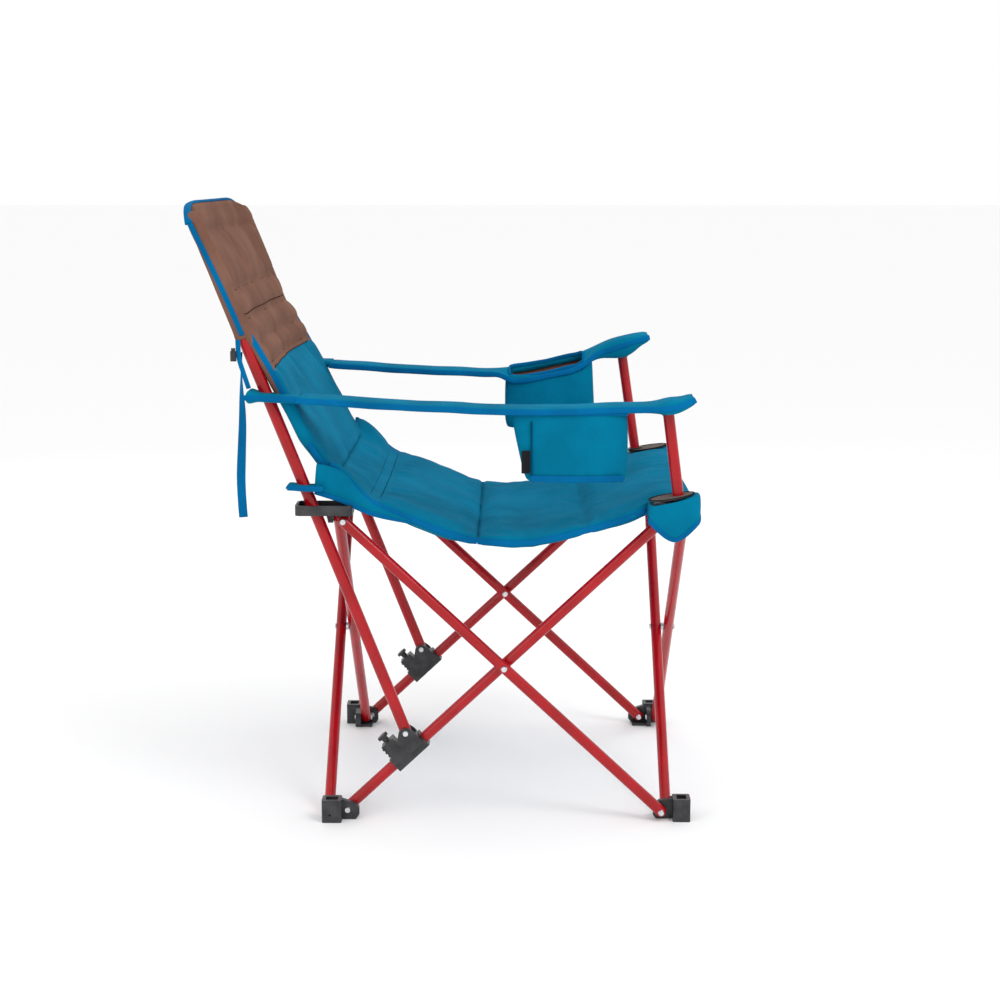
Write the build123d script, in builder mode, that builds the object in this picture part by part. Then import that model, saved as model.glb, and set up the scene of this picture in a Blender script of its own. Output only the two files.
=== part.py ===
from build123d import *
import os
from math import atan2, cos, degrees, hypot, radians, sin, tan

os.makedirs("parts", exist_ok=True)

# Folding camp chair. Millimetres, +Z up, floor at z = 0. The chair faces -Y, and its right side is -X.
# The frame is four X pairs of equal bars around a square, joined at four feet and four hubs.

# ---------------------------------------------------------------- driving dimensions
bar_diameter = 18.0
bar_wall = 1.2
bar_span = 706.0  # from one end rivet of a cross bar to the other
open_angle = 43.2  # cross bars above the horizontal, chair open
bar_offset = 11.0  # from a side's middle plane to the axis of its outer or inner bar
rivet_inset = 21.0  # from a corner's axis to the end rivets of its two bars
foot_rivet_height = 16.0
shank_diameter = 5.0
hole_diameter = 5.1
head_diameter = 10.5
head_thickness = 2.2
face_gap = 0.3  # between a flat face and the bar that turns beside it
post_diameter = 18.0
tube_diameter = 19.0
tube_wall = 1.4
front_reach = 314.0  # from the chair's middle to the front edge of the seat's corners
rear_reach = 516.33  # from the chair's middle to the back's rearmost edge
frame_shift = (front_reach - rear_reach) / 2  # puts the middle of the whole chair's box on the Z axis

# slider brackets on the lower halves of two cross bars
bracket_along = 160.4  # along the bar, from the foot rivet to the back tube's pivot
bracket_rise = 29.8  # square off the bar's axis, up to that pivot
bracket_span = (107.0, 173.0)  # the sleeve's two ends along the bar
bracket_width = 26.0
pin_along = 124.0  # pull pin, along the bar
pin_travel = 7.0
pivot_hole = 5.3  # in a bracket's cheeks

# where the back tube passes its hub
tube_gate_y = 306.3  # from the chair's middle
tube_gate_z = 520.0
back_top = 992.0

# ---------------------------------------------------------------- worked out
bar_radius = bar_diameter / 2
diagonal = cos(radians(45))  # share of a radius at the middle of a quarter arc
half_pitch = bar_span * cos(radians(open_angle)) / 2
corner = half_pitch + rivet_inset
hub_rivet_height = foot_rivet_height + bar_span * sin(radians(open_angle))
UP = Vector(0, 0, 1)
names = ("rear_right", "front_right", "front_left", "rear_left")
side_names = ("right", "front", "left", "rear")
corner_at = (
    Vector(-corner, corner + frame_shift, 0),
    Vector(-corner, -corner + frame_shift, 0),
    Vector(corner, -corner + frame_shift, 0),
    Vector(corner, corner + frame_shift, 0),
)
along_side = (Vector(0, -1, 0), Vector(1, 0, 0), Vector(0, 1, 0), Vector(-1, 0, 0))
outward = (Vector(-1, 0, 0), Vector(0, -1, 0), Vector(1, 0, 0), Vector(0, 1, 0))

foot_height = 38.0
foot_floor = 5.0
foot_cheek = 10.0  # thickness of the foot's cheek
lug_thickness = 8.0  # of the foot's tongue and the hubs' lugs
lug_half = 8.5
inner_face = bar_offset - bar_radius - face_gap  # where a cheek or lug ends beside its bar
bar_far = bar_offset + bar_radius + face_gap  # just beyond the bar's other side
hub_low = hub_rivet_height + 11.0
hub_high = hub_low + 16.0
bracket_y = half_pitch - bracket_along * cos(radians(open_angle)) + bracket_rise * sin(radians(open_angle))
bracket_z = (
    foot_rivet_height
    + bracket_along * sin(radians(open_angle))
    + bracket_rise * cos(radians(open_angle))
)
tube_lean = degrees(atan2(tube_gate_y - bracket_y, tube_gate_z - bracket_z))
tube_direction = Vector(0, sin(radians(tube_lean)), cos(radians(tube_lean)))


def put(builder, name):
    """Labels a finished piece and writes it as its own node."""
    builder.part.label = name
    export_step(builder.part, f"parts/{name}.step")


def chair(y):
    """A distance behind the chair's middle, as a Y of the model."""
    return y + frame_shift


def tube_point(z, x=0.0, forward=0.0):
    """The point of a back tube's axis at height z, moved square off it by forward."""
    up = (z - bracket_z) * tan(radians(tube_lean))
    return Vector(x, chair(bracket_y + up) - forward, z)


# ---------------------------------------------------------------- cross bars
def bar_ends(side, kind):
    """The lower and upper rivet points of a side's outer or inner bar."""
    start, end = corner_at[side], corner_at[(side + 1) % 4]
    t, n = along_side[side], outward[side]
    shift = n * (bar_offset if kind == "outer" else -bar_offset)
    at_start = start + t * rivet_inset + shift
    at_end = end - t * rivet_inset + shift
    low, high = (at_end, at_start) if kind == "outer" else (at_start, at_end)
    return low + UP * foot_rivet_height, high + UP * hub_rivet_height


def cross_bar(side, kind):
    """A steel tube with round closed ends, drilled for its two end rivets and its crossing rivet."""
    low, high = bar_ends(side, kind)
    along = (high - low).normalized()
    plane = Plane(origin=low, x_dir=along, z_dir=outward[side])
    spin = Axis(low, along)
    with BuildPart() as bar:
        for radius, mode in ((bar_radius, Mode.ADD), (bar_radius - bar_wall, Mode.SUBTRACT)):
            with BuildSketch(plane):
                with BuildLine():
                    Line((-radius, 0), (bar_span + radius, 0))
                    ThreePointArc(
                        (bar_span + radius, 0),
                        (bar_span + radius * diagonal, radius * diagonal),
                        (bar_span, radius),
                    )
                    Line((bar_span, radius), (0, radius))
                    ThreePointArc((0, radius), (-radius * diagonal, radius * diagonal), (-radius, 0))
                make_face()
            revolve(axis=spin, mode=mode)
        with BuildSketch(plane):
            with Locations((0, 0), (bar_span / 2, 0), (bar_span, 0)):
                Circle(hole_diameter / 2)
        extrude(amount=bar_diameter, both=True, mode=Mode.SUBTRACT)
    return bar


def rivet(plane, near, far):
    """A rivet along the plane's normal, with a domed head outside near and another outside far."""
    with BuildPart() as pin:
        with BuildSketch(plane.offset(near)):
            Circle(shank_diameter / 2)
        extrude(amount=far - near)
        with BuildSketch(plane.offset(far)):
            Circle(head_diameter / 2)
        extrude(amount=head_thickness, taper=25)
        with BuildSketch(plane.offset(near)):
            Circle(head_diameter / 2)
        extrude(amount=-head_thickness, taper=25)
    return pin


def crossing_rivet(side):
    """The rivet at a side's crossing, and the spacer washer between its two bars."""
    low, high = bar_ends(side, "outer")
    middle = (low + high) / 2 - outward[side] * bar_offset
    plane = Plane(origin=middle, x_dir=along_side[side], z_dir=outward[side])
    reach = bar_offset + bar_radius + face_gap
    gap = bar_offset - bar_radius - 0.25
    with BuildPart() as washer:
        with BuildSketch(plane.offset(-gap)):
            Circle(7.0)
            Circle(hole_diameter / 2, mode=Mode.SUBTRACT)
        extrude(amount=2 * gap)
    with BuildPart() as both:
        add(rivet(plane, -reach, reach).part)
        add(washer.part)
    return both


for side in range(4):
    for kind in ("outer", "inner"):
        put(cross_bar(side, kind), f"bar_{side_names[side]}_{kind}")
    put(crossing_rivet(side), f"crossing_rivet_{side_names[side]}")


# ---------------------------------------------------------------- corner frames
# At each corner the outer bar of the side before it and the inner bar of the side after it meet a foot,
# and the other two bars of those sides meet a hub. Back is the way along the side before, on the
# corner's bar, and ahead is the way along the side after.
def corner_frame(k):
    """The corner's point on the floor, the way back along its first side and the way ahead."""
    return corner_at[k], along_side[k - 1] * -1, along_side[k]


def flat_plane(k, height):
    """A level plane at a corner: sketch x runs ahead and sketch y runs back."""
    at, back, ahead = corner_frame(k)
    return Plane(origin=at + UP * height, x_dir=ahead, z_dir=UP)


def wall_plane(k, way, offset):
    """An upright plane at a corner. Sketch x runs along way, sketch y is up, and the plane stands off
    by offset along the other way."""
    at, back, ahead = corner_frame(k)
    if way == "ahead":
        return Plane(origin=at + back * offset, x_dir=ahead, z_dir=back * -1)
    return Plane(origin=at + ahead * offset, x_dir=back, z_dir=ahead)


cheek_reach = 40.0
tongue_reach = 33.0
box_side = (-20.0, 12.0)  # the foot's box, ahead of the corner
box_back = (-27.0, bar_offset - bar_radius - face_gap)


def foot(k):
    """A moulded foot: a hollow box, a cheek beside the inner bar and a tongue beside the outer bar."""
    with BuildPart() as body:
        with BuildSketch(flat_plane(k, 0)):
            with Locations(((box_side[0] + box_side[1]) / 2, (box_back[0] + box_back[1]) / 2)):
                RectangleRounded(box_side[1] - box_side[0], box_back[1] - box_back[0], 3)
        extrude(amount=foot_height)
        with BuildSketch(flat_plane(k, foot_height)):
            with Locations((-4, -13)):
                Rectangle(20, 16)
        extrude(amount=-24, mode=Mode.SUBTRACT)
        with BuildSketch(wall_plane(k, "ahead", inner_face)):
            with BuildLine():
                Polyline((4, 0), (34, 0), (cheek_reach, 8), (cheek_reach, 20), (34, 27), (12, 34), (4, 34), (4, 0))
            make_face()
        extrude(amount=foot_cheek)
        with BuildSketch(wall_plane(k, "back", -inner_face)):
            with BuildLine():
                Polyline((0, 0), (28, 0), (tongue_reach, 6), (tongue_reach, 22), (24, 31), (0, 34), (0, 0))
            make_face()
        extrude(amount=lug_thickness)
        with BuildSketch(flat_plane(k, 0)):
            with Locations((19, 11)):
                Rectangle(30, 24)
        extrude(amount=foot_floor)
        with BuildSketch(wall_plane(k, "ahead", inner_face)):
            with Locations((rivet_inset, foot_rivet_height)):
                Circle(hole_diameter / 2)
        extrude(amount=40, both=True, mode=Mode.SUBTRACT)
        with BuildSketch(wall_plane(k, "back", -inner_face)):
            with Locations((rivet_inset, foot_rivet_height)):
                Circle(hole_diameter / 2)
        extrude(amount=15, both=True, mode=Mode.SUBTRACT)
        with BuildSketch(wall_plane(k, "ahead", box_back[0])):
            with Locations((-7, 13)):
                Circle(1.8)
        extrude(amount=-4, mode=Mode.SUBTRACT)
    return body


def foot_rivets(k):
    """The two rivets that hold a foot's cheek and tongue to their bars."""
    at, back, ahead = corner_frame(k)
    on_cheek = Plane(origin=at + ahead * rivet_inset + UP * foot_rivet_height, x_dir=UP, z_dir=back)
    on_tongue = Plane(origin=at + back * rivet_inset + UP * foot_rivet_height, x_dir=UP, z_dir=ahead)
    with BuildPart() as pins:
        add(rivet(on_cheek, inner_face - foot_cheek, bar_far).part)
        add(rivet(on_tongue, -bar_far, lug_thickness - inner_face).part)
    return pins


hub_reach = (-55.3, 36.3)  # a rear hub's two ends along Y, towards the front
hub_half = 27.5
hub_wall = 4.0
front_hub_depth = 72.0
slot_reach = (-52.0, 15.5)
slot_half = 10.4


def hub_lugs(k):
    """The two lugs under a hub that its bars are riveted to."""
    z = hub_rivet_height
    with BuildPart() as lugs:
        for way, near in (("ahead", -inner_face), ("back", inner_face)):
            with BuildSketch(wall_plane(k, way, near)):
                with BuildLine():
                    Line((rivet_inset - lug_half, hub_low + 1), (rivet_inset - lug_half, z))
                    ThreePointArc(
                        (rivet_inset - lug_half, z),
                        (rivet_inset, z - lug_half),
                        (rivet_inset + lug_half, z),
                    )
                    Line((rivet_inset + lug_half, z), (rivet_inset + lug_half, hub_low + 1))
                    Line((rivet_inset + lug_half, hub_low + 1), (rivet_inset - lug_half, hub_low + 1))
                make_face()
            extrude(amount=-lug_thickness)
        for way, near in (("ahead", -inner_face), ("back", inner_face)):
            with BuildSketch(wall_plane(k, way, near)):
                with Locations((rivet_inset, z)):
                    Circle(hole_diameter / 2)
            extrude(amount=9, both=True, mode=Mode.SUBTRACT)
    return lugs


def rear_hub(k):
    """A rear hub: a tray with a long slot that the back tube slides and tilts in."""
    side = -1 if k == 0 else 1
    mid_y = chair(corner) - (hub_reach[0] + hub_reach[1]) / 2
    slot_y = chair(corner) - (slot_reach[0] + slot_reach[1]) / 2
    with BuildPart() as body:
        with BuildSketch(Plane.XY.offset(hub_low)):
            with Locations((side * corner, mid_y)):
                RectangleRounded(2 * hub_half, hub_reach[1] - hub_reach[0], 9)
        extrude(amount=hub_high - hub_low)
        with BuildSketch(Plane.XY.offset(hub_high)):
            with Locations((side * corner, mid_y)):
                RectangleRounded(2 * hub_half - 2 * hub_wall, hub_reach[1] - hub_reach[0] - 2 * hub_wall, 6)
        extrude(amount=-9, mode=Mode.SUBTRACT)
        with BuildSketch(Plane.XY.offset(hub_low)):
            with Locations((side * corner, slot_y)):
                SlotOverall(slot_reach[1] - slot_reach[0], 2 * slot_half, rotation=90)
        extrude(amount=20, mode=Mode.SUBTRACT)
        add(hub_lugs(k).part)
    return body


# Each arm post leans back. The left one stands further back and higher, as its arm does.
post_foot = {1: Vector(-corner, chair(-282), hub_high - 12), 2: Vector(corner, chair(-248), hub_high - 12)}
post_top = {1: Vector(-corner, chair(-260), 679), 2: Vector(corner, chair(-218), 717)}
cap_skirt = 8.5
cap_crown = 3.5  # the cap over the post's end


def post_plane(k):
    """A plane at the post's foot, square to the post."""
    along = (post_top[k] - post_foot[k]).normalized()
    return Plane(origin=post_foot[k], x_dir=Vector(1, 0, 0), z_dir=along)


def front_hub(k):
    """A front hub: a block with a raised collar that holds the arm post."""
    side = -1 if k == 1 else 1
    mid_y = chair(-corner + 5)
    with BuildPart() as body:
        with BuildSketch(Plane.XY.offset(hub_low)):
            with Locations((side * corner, mid_y)):
                RectangleRounded(2 * hub_half, front_hub_depth, 9)
        extrude(amount=hub_high - hub_low)
        with BuildSketch(post_plane(k).offset(4)):
            Circle(post_diameter / 2 + 4)
        extrude(amount=20)
        with BuildSketch(post_plane(k)):
            Circle(post_diameter / 2 + 0.05)
        extrude(amount=60, mode=Mode.SUBTRACT)
        add(hub_lugs(k).part)
    return body


def hub_rivets(k):
    """The two rivets that hold a hub's lugs to their bars."""
    at, back, ahead = corner_frame(k)
    outer_lug = Plane(origin=at + ahead * rivet_inset + UP * hub_rivet_height, x_dir=UP, z_dir=back)
    inner_lug = Plane(origin=at + back * rivet_inset + UP * hub_rivet_height, x_dir=UP, z_dir=ahead)
    with BuildPart() as pins:
        add(rivet(outer_lug, -bar_far, lug_thickness - inner_face).part)
        add(rivet(inner_lug, inner_face - lug_thickness, bar_far).part)
    return pins


for k, name in enumerate(names):
    put(foot(k), f"foot_{name}")
    put(foot_rivets(k), f"foot_rivets_{name}")
    put(hub_rivets(k), f"hub_rivets_{name}")
    put(front_hub(k) if name.startswith("front") else rear_hub(k), f"hub_{name}")


# ---------------------------------------------------------------- arm posts
def arm_post(k):
    """A steel tube from the front hub's collar up to the arm."""
    length = (post_top[k] - post_foot[k]).length
    with BuildPart() as post:
        with BuildSketch(post_plane(k)):
            Circle(post_diameter / 2)
            Circle(post_diameter / 2 - bar_wall, mode=Mode.SUBTRACT)
        extrude(amount=length - cap_crown)
    return post


def post_cap(k):
    """A plastic cap pressed over the post's top, inside the arm's front end."""
    length = (post_top[k] - post_foot[k]).length
    plane = post_plane(k)
    with BuildPart() as cap:
        with BuildSketch(plane.offset(length - cap_skirt)):
            Circle(post_diameter / 2 + 2)
        extrude(amount=cap_skirt)
        with BuildSketch(plane.offset(length - cap_skirt)):
            Circle(post_diameter / 2 + 0.05)
        extrude(amount=cap_skirt - cap_crown + 0.05, mode=Mode.SUBTRACT)
        fillet(cap.edges().sort_by(Axis.Z)[-1], 1.5)
    return cap


for k, side in ((1, "right"), (2, "left")):
    put(arm_post(k), f"arm_post_{side}")
    put(post_cap(k), f"arm_post_cap_{side}")

# ---------------------------------------------------------------- slider brackets and back tubes
# Each bracket slides on the bar that rises forward from its rear foot. The back tube's plane is the
# corner's own, which is one bar offset to the right of that bar, on both sides of the chair.
bracket_bar = {"right": (0, "inner"), "left": (2, "outer")}
cheek_gap = tube_diameter / 2 + 0.6
cheek_thickness = 3.2


def bracket_plane(side, offset=0.0):
    """A plane along a bracket's bar: sketch x runs up the bar from its foot rivet, sketch y square off
    it, up and back. Its normal points to the chair's right, where the back tube is."""
    low, high = bar_ends(*bracket_bar[side])
    along = (high - low).normalized()
    return Plane(origin=low, x_dir=along, z_dir=Vector(-1, 0, 0)).offset(offset)


def bracket(side):
    """A moulded bracket: a sleeve round the bar, two cheeks for the back tube and the pin's housing."""
    start, end = bracket_span
    plane = bracket_plane(side)
    low, high = bar_ends(*bracket_bar[side])
    along = (high - low).normalized()
    outer = bar_offset + cheek_gap + cheek_thickness
    inner = bar_offset - cheek_gap - cheek_thickness
    with BuildPart() as body:
        with BuildSketch(bracket_plane(side, -bracket_width / 2)):
            with Locations(((start + end) / 2, 0)):
                Rectangle(end - start, bracket_width)
        extrude(amount=bracket_width)
        with BuildSketch(bracket_plane(side, inner)):
            with Locations(((start + 32 + end - 1) / 2, 14)):
                Rectangle(end - start - 33, 9)
        extrude(amount=outer - inner)
        for near in (inner, outer - cheek_thickness):
            with BuildSketch(bracket_plane(side, near)):
                with BuildLine():
                    Polyline(
                        (start + 32, 0),
                        (end - 1, 0),
                        (end - 1, 24),
                        (bracket_along + 9, bracket_rise + 4),
                        (bracket_along + 3, bracket_rise + 9),
                        (bracket_along - 7, bracket_rise + 9),
                        (start + 32, bracket_rise - 2),
                        (start + 32, 0),
                    )
                make_face()
            extrude(amount=cheek_thickness)
        with BuildSketch(bracket_plane(side, -bracket_width / 2)):
            with Locations((pin_along, 20)):
                Rectangle(24, 34)
        extrude(amount=bracket_width)
        for step in range(3):
            with BuildSketch(bracket_plane(side, -bracket_width / 2 - 1.2)):
                with Locations((pin_along - 12, (18 + step * 7))):
                    Rectangle(2.4, 3)
            extrude(amount=bracket_width + 2.4)
        with BuildSketch(Plane(origin=low, x_dir=Vector(1, 0, 0), z_dir=along).offset(start - 5)):
            Circle(bar_radius + 0.35)
        extrude(amount=end - start + 10, mode=Mode.SUBTRACT)
        with BuildSketch(plane):
            with Locations((bracket_along, bracket_rise)):
                Circle(pivot_hole / 2)
        extrude(amount=40, both=True, mode=Mode.SUBTRACT)
        across = Vector(plane.y_dir)
        pin_root = low + along * pin_along
        with BuildSketch(Plane(origin=pin_root, x_dir=along, z_dir=across)):
            Circle(3.05)
        extrude(amount=60, mode=Mode.SUBTRACT)
        with BuildSketch(Plane(origin=pin_root, x_dir=along, z_dir=across).offset(13)):
            Circle(6.5)
        extrude(amount=18, mode=Mode.SUBTRACT)
    return body


def pull_pin(side):
    """A pull pin: a knob on a shank, with the collar that its return spring pushes on."""
    plane = bracket_plane(side)
    low, high = bar_ends(*bracket_bar[side])
    along = (high - low).normalized()
    across = Vector(plane.y_dir)
    base = Plane(origin=low + along * pin_along, x_dir=along, z_dir=across)
    with BuildPart() as pin:
        with BuildSketch(base.offset(bar_radius + 0.6)):
            Circle(3.0)
        extrude(amount=39)
        with BuildSketch(base.offset(14)):
            Circle(6.0)
        extrude(amount=3)
        with BuildSketch(base.offset(38.5)):
            Circle(5.5)
        extrude(amount=7)
        with BuildSketch(base.offset(45.5)):
            Circle(9.5)
        extrude(amount=5)
        fillet(pin.edges().sort_by(lambda e: (e.center() - base.origin).dot(across))[-1], 1.5)
    return pin


def pivot_rivet(side):
    """The rivet through a bracket's cheeks that the back tube turns on."""
    plane = bracket_plane(side)
    centre = plane.origin + Vector(plane.x_dir) * bracket_along + Vector(plane.y_dir) * bracket_rise
    outer = bar_offset + cheek_gap + cheek_thickness + 0.1
    inner = bar_offset - cheek_gap - cheek_thickness - 0.1
    return rivet(Plane(origin=centre, x_dir=UP, z_dir=plane.z_dir), inner, outer)


def back_tube(side):
    """A steel tube from the bracket's pivot, through the hub's slot, to the top of the back's sleeve."""
    x = -corner if side == "right" else corner
    foot_point = tube_point(bracket_z, x)
    length = (back_top - bracket_z) / cos(radians(tube_lean)) - 14
    plane = Plane(origin=foot_point, x_dir=tube_direction, z_dir=Vector(-1, 0, 0))
    spin = Axis(foot_point, tube_direction)
    with BuildPart() as tube:
        for radius, mode in ((tube_diameter / 2, Mode.ADD), (tube_diameter / 2 - tube_wall, Mode.SUBTRACT)):
            reach = length if mode == Mode.ADD else length + 1
            with BuildSketch(plane):
                with BuildLine():
                    Line((-radius, 0), (reach, 0))
                    Line((reach, 0), (reach, radius))
                    Line((reach, radius), (0, radius))
                    ThreePointArc((0, radius), (-radius * diagonal, radius * diagonal), (-radius, 0))
                make_face()
            revolve(axis=spin, mode=mode)
        with BuildSketch(plane):
            Circle(hole_diameter / 2)
        extrude(amount=20, both=True, mode=Mode.SUBTRACT)
    return tube


def tube_cap(side):
    """A plastic cap in the top of a back tube."""
    x = -corner if side == "right" else corner
    length = (back_top - bracket_z) / cos(radians(tube_lean)) - 14
    base = Plane(origin=tube_point(bracket_z, x), x_dir=Vector(1, 0, 0), z_dir=tube_direction).offset(length)
    with BuildPart() as cap:
        with BuildSketch(base.offset(-12)):
            Circle(tube_diameter / 2 - tube_wall - 0.05)
        extrude(amount=12)
        with BuildSketch(base):
            Circle(tube_diameter / 2 + 0.8)
        extrude(amount=5)
        fillet(cap.edges().sort_by(Axis.Z)[-1], 3)
    return cap


for side in ("right", "left"):
    put(bracket(side), f"slider_bracket_{side}")
    put(pull_pin(side), f"pull_pin_{side}")
    put(pivot_rivet(side), f"back_pivot_rivet_{side}")
    put(back_tube(side), f"back_tube_{side}")
    put(tube_cap(side), f"back_tube_cap_{side}")


# ---------------------------------------------------------------- soft parts
# Every soft part is a plain closed solid of its true place and size.
def band(points, thickness):
    """The closed outline of an even band along points, each a distance behind the middle and a height."""
    left, right = [], []
    for n, (y, z) in enumerate(points):
        before = points[max(n - 1, 0)]
        after = points[min(n + 1, len(points) - 1)]
        run = hypot(after[0] - before[0], after[1] - before[1])
        step_y = -(after[1] - before[1]) / run * thickness / 2
        step_z = (after[0] - before[0]) / run * thickness / 2
        left.append((chair(y + step_y), z + step_z))
        right.append((chair(y - step_y), z - step_z))
    return left + right[::-1] + left[:1]


def soft_slab(points, thickness, x_low, x_high):
    """A band of even thickness, straight across the chair from x_low to x_high."""
    with BuildPart() as slab:
        with BuildSketch(Plane.YZ.offset(x_low)):
            with BuildLine():
                Polyline(*band(points, thickness))
            make_face()
        extrude(amount=x_high - x_low)
    return slab


def block(low, high):
    """A plain box between two corners, whose middle Y is measured from the chair's middle."""
    with BuildPart() as body:
        with Locations(((low[0] + high[0]) / 2, chair((low[1] + high[1]) / 2), (low[2] + high[2]) / 2)):
            Box(high[0] - low[0], high[1] - low[1], high[2] - low[2])
    return body


seat_half = 246.0
seat_thickness = 18.0
back_half = 262.0
back_thickness = 22.0
arm_half = 35.0
arm_thickness = 14.0
pocket_wall = 3.0
seat_front_line = ((-304, 531), (-267, 527), (-225, 513), (-130, 484), (-45, 466), (0, 463.5), (40, 466))
seat_rear_line = ((46, 467), (72, 473), (130, 495), (205, 524), (252, 545))
back_line = ((272, 562), (300, 602), (335, 668), (368, 735), (405, 805), (436, 860), (488, 951), (506, 1000))
arm_lines = {
    "right": ((-304, 694), (-262, 689), (-225, 683), (-100, 678), (10, 679), (166, 685), (328, 696)),
    "left": ((-250, 745), (-218, 732), (-160, 714), (-90, 696), (10, 681), (166, 685), (328, 696)),
}
tab_line = ((331, 696), (380, 699), (412, 702))

put(soft_slab(seat_front_line, seat_thickness, -seat_half, seat_half), "seat_front_panel")
put(soft_slab(seat_rear_line, seat_thickness, -seat_half, seat_half), "seat_rear_panel")
put(soft_slab(back_line, back_thickness, -back_half, back_half), "back_panel")


def sleeve(side):
    """The fabric sleeve at a side of the back, closed over the top of its tube."""
    x = -corner if side == "right" else corner
    base = Plane(origin=tube_point(800, x), x_dir=Vector(1, 0, 0), z_dir=tube_direction)
    reach = (back_top - 800) / cos(radians(tube_lean))
    with BuildPart() as body:
        with BuildSketch(base):
            Circle(13.5)
        extrude(amount=reach)
        with BuildSketch(base):
            Circle(10.9)
        extrude(amount=reach - 5, mode=Mode.SUBTRACT)
    return body


def arm(side):
    """A padded fabric arm. The left one has the mouth of the cooler pocket in it."""
    x = -corner if side == "right" else corner
    with BuildPart() as body:
        add(soft_slab(arm_lines[side], arm_thickness, x - arm_half, x + arm_half).part)
        if side == "left":
            add(block((x - 26, -146, 640), (x + 26, -8, 760)).part, mode=Mode.SUBTRACT)
    return body


def arm_tab(side):
    """The arm's reinforced rear end, with a hole for the back tube."""
    sign = -1 if side == "right" else 1
    inner, outer = sign * 263.5, sign * (corner + arm_half)
    with BuildPart() as body:
        add(soft_slab(tab_line, arm_thickness, min(inner, outer), max(inner, outer)).part)
        with BuildSketch(Plane.XY.offset(660)):
            with Locations((sign * corner, tube_point(699).Y)):
                SlotOverall(38, 24, rotation=90)
        extrude(amount=80, mode=Mode.SUBTRACT)
    return body


def seat_tab(side):
    """The seat's rear corner, a flat tab with a hole for the back tube."""
    sign = -1 if side == "right" else 1
    inner, outer = sign * 263.5, sign * 308
    with BuildPart() as body:
        add(block((min(inner, outer), 286, 550), (max(inner, outer), 349, 558)).part)
        with BuildSketch(Plane.XY.offset(540)):
            with Locations((sign * corner, tube_point(554).Y)):
                SlotOverall(33, 24, rotation=90)
        extrude(amount=30, mode=Mode.SUBTRACT)
    return body


def seat_corner(k):
    """The seat's reinforced front corner: a cover over the hub, round its collar, with a skirt."""
    sign = -1 if k == 1 else 1
    low_x, high_x = sorted((sign * 248.0, sign * 311.0))
    low_y, high_y = -front_reach, -232.0
    with BuildPart() as body:
        add(block((low_x, low_y, 484), (high_x, high_y, 532)).part)
        open_low, open_high = sorted((sign * 240.0, sign * 309.0))
        add(block((open_low, low_y + 2, 470), (open_high, high_y + 5, 527)).part, mode=Mode.SUBTRACT)
        with BuildSketch(post_plane(k)):
            Circle(post_diameter / 2 + 5)
        extrude(amount=60, mode=Mode.SUBTRACT)
    return body


def cooler_pocket():
    """The insulated pocket under the left arm, open at the top."""
    with BuildPart() as body:
        add(block((corner - 35, -167, 578), (corner + 35, 2, 671)).part)
        add(block((corner - 32, -164, 582), (corner + 32, -1, 700)).part, mode=Mode.SUBTRACT)
    return body


def side_pocket():
    """The flat pocket under the right arm, open at the top of its inner side."""
    with BuildPart() as body:
        with BuildSketch(Plane.YZ.offset(-corner - arm_half + 2)):
            with BuildLine():
                Polyline(
                    (chair(-12), 669),
                    (chair(-197), 669),
                    (chair(-197), 566),
                    (chair(-31), 566),
                    (chair(-12), 669),
                )
            make_face()
        extrude(amount=52)
        with BuildSketch(Plane.YZ.offset(-corner - arm_half + 2 + pocket_wall)):
            with BuildLine():
                Polyline(
                    (chair(-15.5), 690),
                    (chair(-194), 690),
                    (chair(-194), 570),
                    (chair(-34), 570),
                    (chair(-15.5), 669),
                    (chair(-15.5), 690),
                )
            make_face()
        extrude(amount=52 - 2 * pocket_wall, mode=Mode.SUBTRACT)
        add(block((-corner - 10, -194, 640), (-240, -18, 700)).part, mode=Mode.SUBTRACT)
    return body


for side in ("right", "left"):
    put(sleeve(side), f"back_sleeve_{side}")
    put(arm(side), f"arm_{side}")
    put(arm_tab(side), f"arm_tab_{side}")
    put(seat_tab(side), f"seat_tab_{side}")
put(seat_corner(1), "seat_corner_front_right")
put(seat_corner(2), "seat_corner_front_left")
put(cooler_pocket(), "cooler_pocket")
put(side_pocket(), "side_pocket")

# ---------------------------------------------------------------- hanging strap and cord lock
# The strap is flat webbing that hangs from the hem of the right sleeve and ends in a plain cut.
strap_width = 14.0
strap_thickness = 1.8
strap_x = -270.0
strap_route = (
    (strap_x, chair(417), 768),
    (strap_x + 1, chair(419), 718),
    (strap_x - 1, chair(417), 664),
    (strap_x - 3, chair(420), 606),
    (strap_x - 1, chair(423), 552),
    (strap_x + 1, chair(420), 502),
)


def bend_radii(points):
    """For each corner of a route, 0.45 of its shorter run divided by the tangent of half the turn."""
    radii = []
    for before, at, after in zip(points, points[1:], points[2:]):
        into, out = Vector(*at) - Vector(*before), Vector(*after) - Vector(*at)
        half_turn = radians(into.get_angle(out)) / 2
        radii.append(0.45 * min(into.length, out.length) / tan(half_turn))
    return radii


strap_radii = bend_radii(strap_route)
with BuildPart() as strap:
    with BuildLine() as strap_path:
        FilletPolyline(*strap_route, radius=strap_radii)
    with BuildSketch(Plane(origin=strap_route[0], x_dir=(1, 0, 0), z_dir=strap_path.line % 0)):
        Rectangle(strap_width, strap_thickness)
    sweep(is_frenet=False, transition=Transition.RIGHT)
put(strap, "hanging_strap")
strap_length = strap_path.wire().length
print("strap radii", [round(r) for r in strap_radii], "length", round(strap_length, 1))
strap_section = strap_width * strap_thickness
print("strap volume over section times length", strap.part.volume / strap_section / strap_length)

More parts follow.
